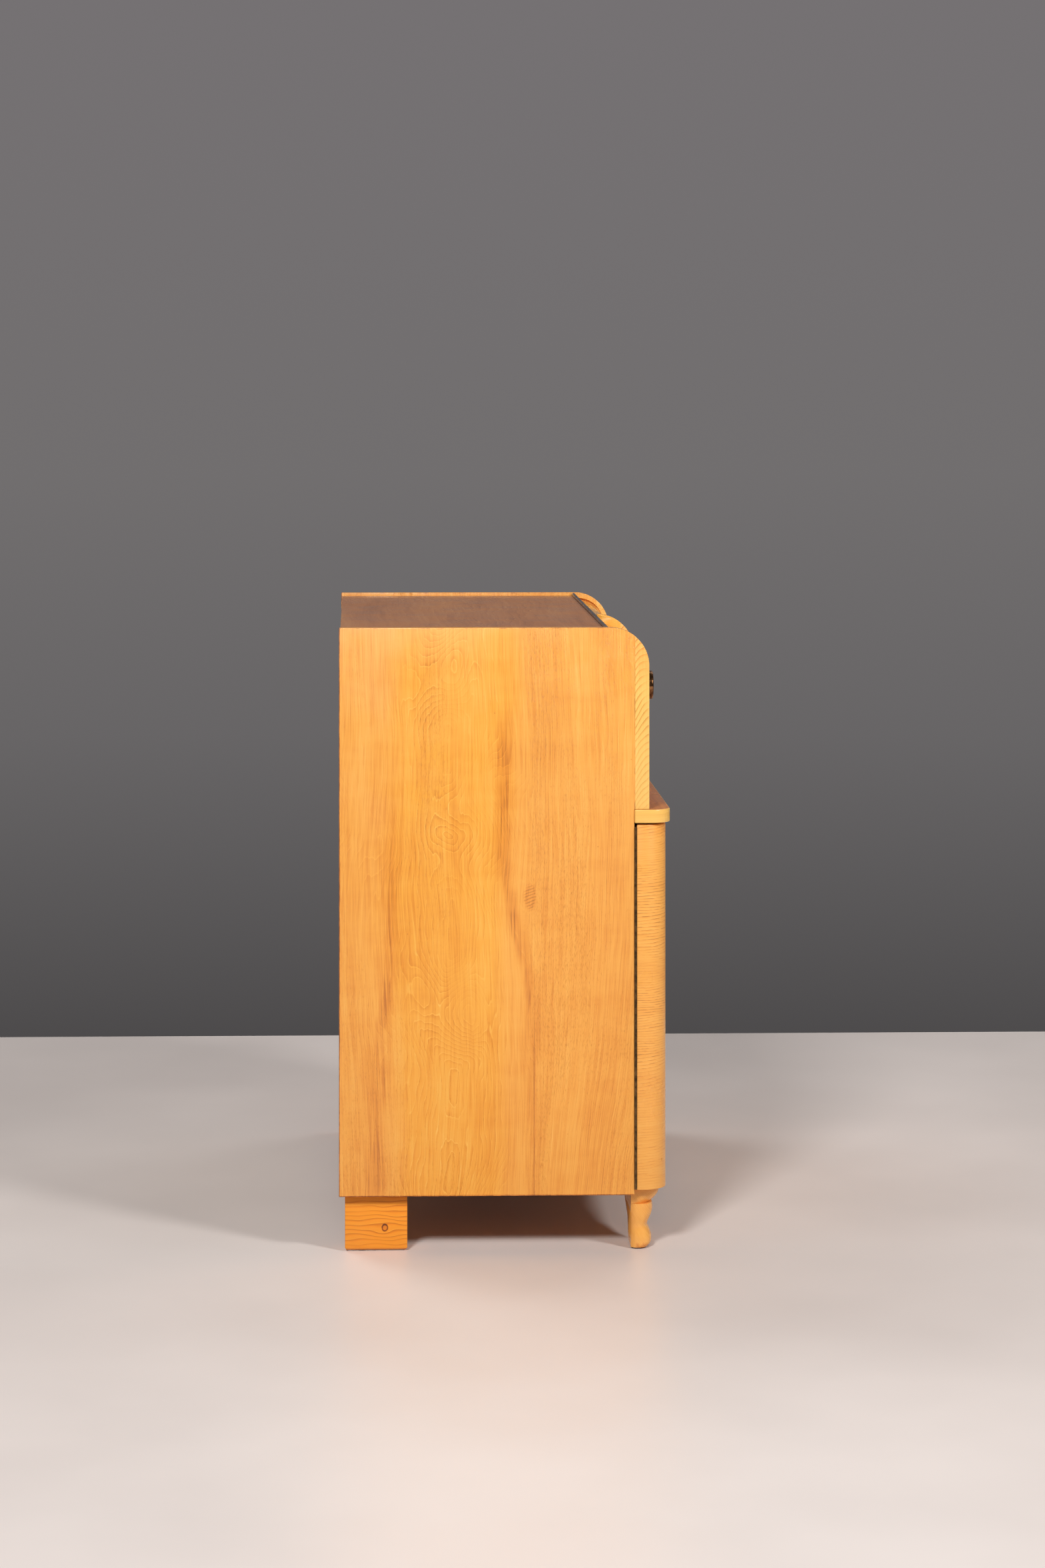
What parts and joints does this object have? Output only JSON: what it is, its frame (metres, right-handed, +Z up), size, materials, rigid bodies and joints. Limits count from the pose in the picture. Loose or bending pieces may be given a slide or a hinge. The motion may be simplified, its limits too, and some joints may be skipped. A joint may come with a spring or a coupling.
{
  "type": "roll top desk",
  "caption": "Roll top desk with a drop flap bay beside a tambour bay, cupboard doors with rounded outer corners below, and cabriole front feet.",
  "frame": {"origin": "on the floor, under the centre of the whole desk's bounding box", "axes": "+Z up; the front faces -Y; +X is to the right of a person who faces the front"},
  "size_m": [1.086, 0.6006, 1.1],
  "materials": {
    "side_veneer": "lacquered honey veneer, vertical grain",
    "solid_lipping": "lacquered solid ash, pale and figured",
    "top_veneer": "dull worn lacquer over brown veneer",
    "bead_wood": "glossy lacquer on a half-round bead",
    "front_veneer": "glossy lacquered veneer",
    "ledge_wood": "lacquered, grain along the ledge",
    "door_veneer": "lacquered veneer, horizontal grain round the corner",
    "inner_plywood": "thinly varnished birch plywood",
    "drawer_wood": "satin varnish",
    "slat_wood": "glossy lacquered slats",
    "canvas": "woven linen backing",
    "pull_brass": "aged, browned brass",
    "hinge_brass": "tarnished brass",
    "lock_steel": "dull steel",
    "key_steel": "worn steel",
    "foot_pine": "lacquered pine, horizontal grain",
    "foot_beech": "lacquered, worn at the toe",
    "cap_beech": "lacquered"
  },
  "bodies": {
    "case": {"left_side_panel": "side_veneer", "right_side_panel": "side_veneer", "left_side_lipping": "solid_lipping", "right_side_lipping": "solid_lipping", "upper_divider": "side_veneer", "upper_divider_lipping": "solid_lipping", "top_board": "top_veneer", "top_bead": "bead_wood", "left_bay_cover": "front_veneer", "desk_plate": "front_veneer", "ledge": "ledge_wood", "back_panel": "inner_plywood", "inner_ceiling": "inner_plywood", "bottom_board": "inner_plywood", "lower_divider": "inner_plywood", "centre_stile": "ledge_wood", "left_cupboard_shelf": "inner_plywood", "right_cupboard_shelf": "inner_plywood", "pigeonhole_shelf": "inner_plywood", "pigeonhole_drawer_divider": "inner_plywood", "pigeonhole_grid": "inner_plywood", "left_hinge_case_leaf": "hinge_brass", "left_hinge_pin": "hinge_brass", "middle_hinge_case_leaf": "hinge_brass", "middle_hinge_pin": "hinge_brass", "right_hinge_case_leaf": "hinge_brass", "right_hinge_pin": "hinge_brass", "flap_hinge_desk_leaf": "hinge_brass", "flap_hinge_pin": "hinge_brass", "tambour_front_slats": "slat_wood", "tambour_rear_slats": "slat_wood", "tambour_canvas": "canvas", "rear_left_foot": "foot_pine", "rear_right_foot": "foot_pine", "front_left_foot": "foot_beech", "front_right_foot": "foot_beech", "front_left_foot_cap": "cap_beech", "front_right_foot_cap": "cap_beech"},
    "flap": {"flap": "front_veneer", "flap_pull": "pull_brass", "flap_hinge_flap_leaf": "hinge_brass"},
    "tambour_rail": {"tambour_bottom_rail": "slat_wood", "tambour_pull": "pull_brass"},
    "left_door": {"left_door": "door_veneer", "left_hinge_door_leaf": "hinge_brass", "left_lock_case": "lock_steel"},
    "middle_door": {"middle_door": "door_veneer", "middle_hinge_door_leaf": "hinge_brass"},
    "right_door": {"right_door": "door_veneer", "right_hinge_door_leaf": "hinge_brass", "right_lock_case": "lock_steel"},
    "left_key": {"left_key": "key_steel"},
    "right_key": {"right_key": "key_steel"},
    "left_bolt": {"left_lock_bolt": "lock_steel"},
    "right_bolt": {"right_lock_bolt": "lock_steel"},
    "left_drawer": {"left_small_drawer": "drawer_wood", "left_small_drawer_knob": "pull_brass"},
    "right_drawer": {"right_small_drawer": "drawer_wood", "right_small_drawer_knob": "pull_brass"}
  },
  "joints": [
    {"name": "flap_hinge", "type": "hinge", "parent": "case", "child": "flap", "pos_m": [-0.3485, -0.2352, 0.7821], "axis": [1, 0, 0], "range_deg": [0, 90]},
    {"name": "tambour_lift", "type": "slide", "parent": "case", "child": "tambour_rail", "axis": [0, 0, 1], "range_m": [0, 0.188], "deforming": ["tambour_front_slats"]},
    {"name": "left_door_hinge", "type": "hinge", "parent": "case", "child": "left_door", "pos_m": [-0.5405, -0.2225, 0.11], "axis": [0, 0, -1], "range_deg": [0, 170]},
    {"name": "middle_door_hinge", "type": "hinge", "parent": "case", "child": "middle_door", "pos_m": [-0.1455, -0.2805, 0.11], "axis": [0, 0, -1], "range_deg": [0, 110]},
    {"name": "right_door_hinge", "type": "hinge", "parent": "case", "child": "right_door", "pos_m": [0.5405, -0.2225, 0.11], "axis": [0, 0, 1], "range_deg": [0, 170]},
    {"name": "left_key_turn", "type": "hinge", "parent": "left_door", "child": "left_key", "pos_m": [-0.224, -0.2783, 0.476], "axis": [0, -1, 0], "range_deg": [0, 90]},
    {"name": "left_bolt_throw", "type": "slide", "parent": "left_door", "child": "left_bolt", "axis": [1, 0, 0], "range_m": [0, 0.0089]},
    {"name": "right_key_turn", "type": "hinge", "parent": "right_door", "child": "right_key", "pos_m": [0.2335, -0.2783, 0.476], "axis": [0, -1, 0], "range_deg": [-90, 0]},
    {"name": "right_bolt_throw", "type": "slide", "parent": "right_door", "child": "right_bolt", "axis": [-1, 0, 0], "range_m": [0, 0.0089]},
    {"name": "left_drawer_slide", "type": "slide", "parent": "case", "child": "left_drawer", "axis": [0, -1, 0], "range_m": [0, 0.15]},
    {"name": "right_drawer_slide", "type": "slide", "parent": "case", "child": "right_drawer", "axis": [0, -1, 0], "range_m": [0, 0.15]}
  ],
  "couplings": [
    {"joint": "left_key_turn", "follows": "left_bolt_throw", "rad_per_m": 176},
    {"joint": "right_key_turn", "follows": "right_bolt_throw", "rad_per_m": -176}
  ]
}
